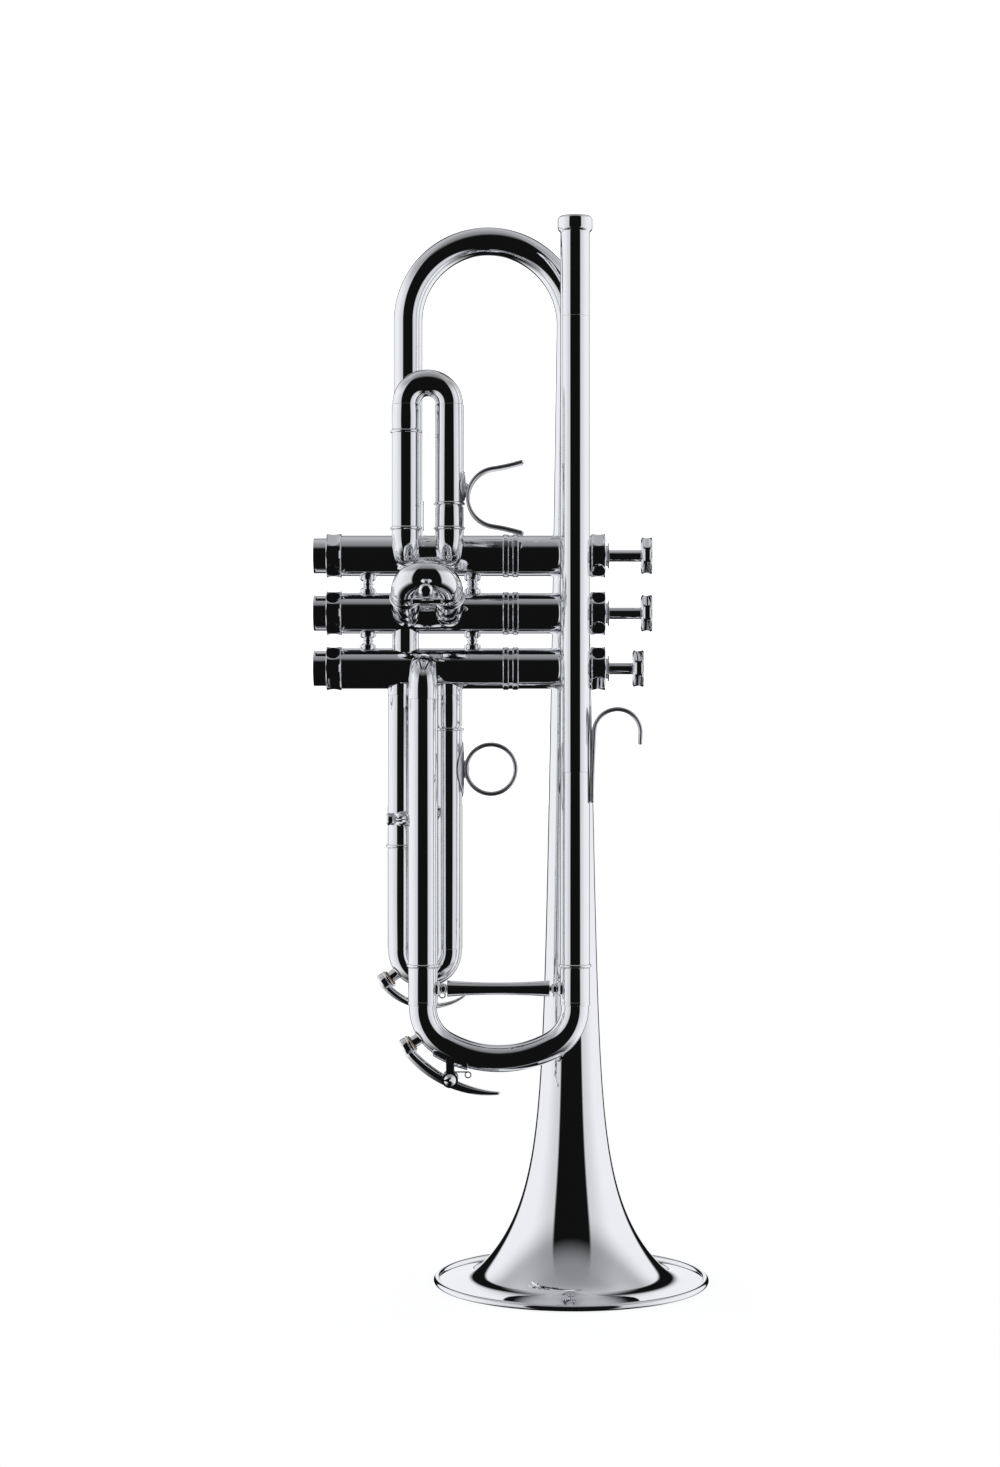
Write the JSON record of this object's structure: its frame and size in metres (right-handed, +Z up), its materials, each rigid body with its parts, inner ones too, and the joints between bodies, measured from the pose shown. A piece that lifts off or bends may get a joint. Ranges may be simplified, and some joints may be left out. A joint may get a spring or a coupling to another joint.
{
  "type": "trumpet",
  "caption": "Silver-plated valve trumpet standing on its bell, with sprung piston valves, pull-out tuning slides and lever water keys.",
  "frame": {"origin": "centre of the bell rim on the plane the rim rests on", "axes": "+Z up the bell axis and out of the mouthpiece socket, +X towards the finger buttons, -Y towards the leadpipe side"},
  "size_m": [0.1808, 0.1282, 0.4863],
  "materials": {
    "silver_plate": "polished silver plate",
    "monel": "lapped",
    "nickel_silver": "lapped",
    "spring_steel": "drawn wire",
    "cork": "natural cork",
    "nylon": "moulded",
    "wire_brass": "drawn wire"
  },
  "bodies": {
    "horn": {"bell_flare": "silver_plate", "bell_rim_wire": "wire_brass", "bell_bow": "silver_plate", "bell_tail_ferrule": "silver_plate", "bell_tail_knuckle": "silver_plate", "leadpipe": "silver_plate", "mouthpiece_receiver": "silver_plate", "bell_braces": "silver_plate", "upper_slide_tube": "silver_plate", "lower_slide_tube": "silver_plate", "lower_slide_knuckle": "silver_plate", "valve_casing_1": "silver_plate", "valve_casing_2": "silver_plate", "valve_casing_3": "silver_plate", "bottom_caps": "silver_plate", "top_caps": "silver_plate", "casing_balusters": "silver_plate", "crossover_tubes": "silver_plate", "casing_saddles": "silver_plate", "valve_guides": "nylon", "first_casing_tubes": "silver_plate", "first_slide_knuckles": "silver_plate", "second_casing_tubes": "silver_plate", "third_casing_tubes": "silver_plate", "pinky_hook": "silver_plate", "stop_post": "silver_plate"},
    "tuning_slide": {"tuning_slide_crook": "silver_plate", "tuning_slide_legs": "nickel_silver", "tuning_slide_ferrules": "silver_plate", "tuning_slide_brace": "silver_plate", "tuning_key_saddle": "silver_plate", "tuning_key_spring": "spring_steel"},
    "tuning_key": {"tuning_key_lever": "silver_plate", "tuning_key_cork": "cork"},
    "first_slide": {"first_slide_crook": "silver_plate", "first_slide_legs": "silver_plate", "thumb_saddle": "silver_plate"},
    "second_slide": {"second_slide_crook": "silver_plate", "second_slide_legs": "silver_plate", "pull_knob": "silver_plate"},
    "third_slide": {"third_slide_crook": "silver_plate", "third_slide_legs": "silver_plate", "finger_ring": "silver_plate", "third_key_saddle": "silver_plate", "third_key_spring": "spring_steel"},
    "third_key": {"third_key_lever": "silver_plate", "third_key_cork": "cork"},
    "stop_screw": {"stop_screw": "silver_plate"},
    "valve_1": {"piston_1": "monel", "valve_stem_1": "silver_plate", "finger_button_1": "silver_plate", "valve_spring_1": "spring_steel"},
    "valve_2": {"piston_2": "monel", "valve_stem_2": "silver_plate", "finger_button_2": "silver_plate", "valve_spring_2": "spring_steel"},
    "valve_3": {"piston_3": "monel", "valve_stem_3": "silver_plate", "finger_button_3": "silver_plate", "valve_spring_3": "spring_steel"}
  },
  "joints": [
    {"name": "valve_1_press", "type": "slide", "parent": "horn", "child": "valve_1", "axis": [-1, 0, 0], "range_m": [0, 0.014], "stiffness_N_per_m": 150, "springref_m": -0.012, "deforming": ["valve_spring_1"]},
    {"name": "valve_2_press", "type": "slide", "parent": "horn", "child": "valve_2", "axis": [-1, 0, 0], "range_m": [0, 0.014], "stiffness_N_per_m": 150, "springref_m": -0.012, "deforming": ["valve_spring_2"]},
    {"name": "valve_3_press", "type": "slide", "parent": "horn", "child": "valve_3", "axis": [-1, 0, 0], "range_m": [-0.0038, 0.0102], "stiffness_N_per_m": 150, "deforming": ["valve_spring_3"]},
    {"name": "tuning_slide_pull", "type": "slide", "parent": "horn", "child": "tuning_slide", "axis": [0, 0, -1], "range_m": [0, 0.045]},
    {"name": "first_slide_pull", "type": "slide", "parent": "horn", "child": "first_slide", "axis": [0, 0, 1], "range_m": [0, 0.018]},
    {"name": "second_slide_pull", "type": "slide", "parent": "horn", "child": "second_slide", "axis": [0, -0.788, 0.6157], "range_m": [0, 0.005]},
    {"name": "third_slide_pull", "type": "slide", "parent": "horn", "child": "third_slide", "axis": [0, 0, -1], "range_m": [0, 0.035]},
    {"name": "tuning_key_press", "type": "hinge", "parent": "tuning_slide", "child": "tuning_key", "pos_m": [-0.0551, -0.037, 0.0986], "axis": [0, -1, 0], "range_deg": [0, 15], "stiffness_Nm_per_rad": 0.03, "springref_deg": -34.38, "deforming": ["tuning_key_spring"]},
    {"name": "third_key_press", "type": "hinge", "parent": "third_slide", "child": "third_key", "pos_m": [-0.067, -0.02, 0.1326], "axis": [0, -1, 0], "range_deg": [0, 15], "stiffness_Nm_per_rad": 0.03, "springref_deg": -34.38, "deforming": ["third_key_spring"]},
    {"name": "stop_screw_turn", "type": "hinge", "parent": "horn", "child": "stop_screw", "pos_m": [-0.0773, -0.0299, 0.2146], "axis": [1, 0, 0], "continuous": true}
  ]
}
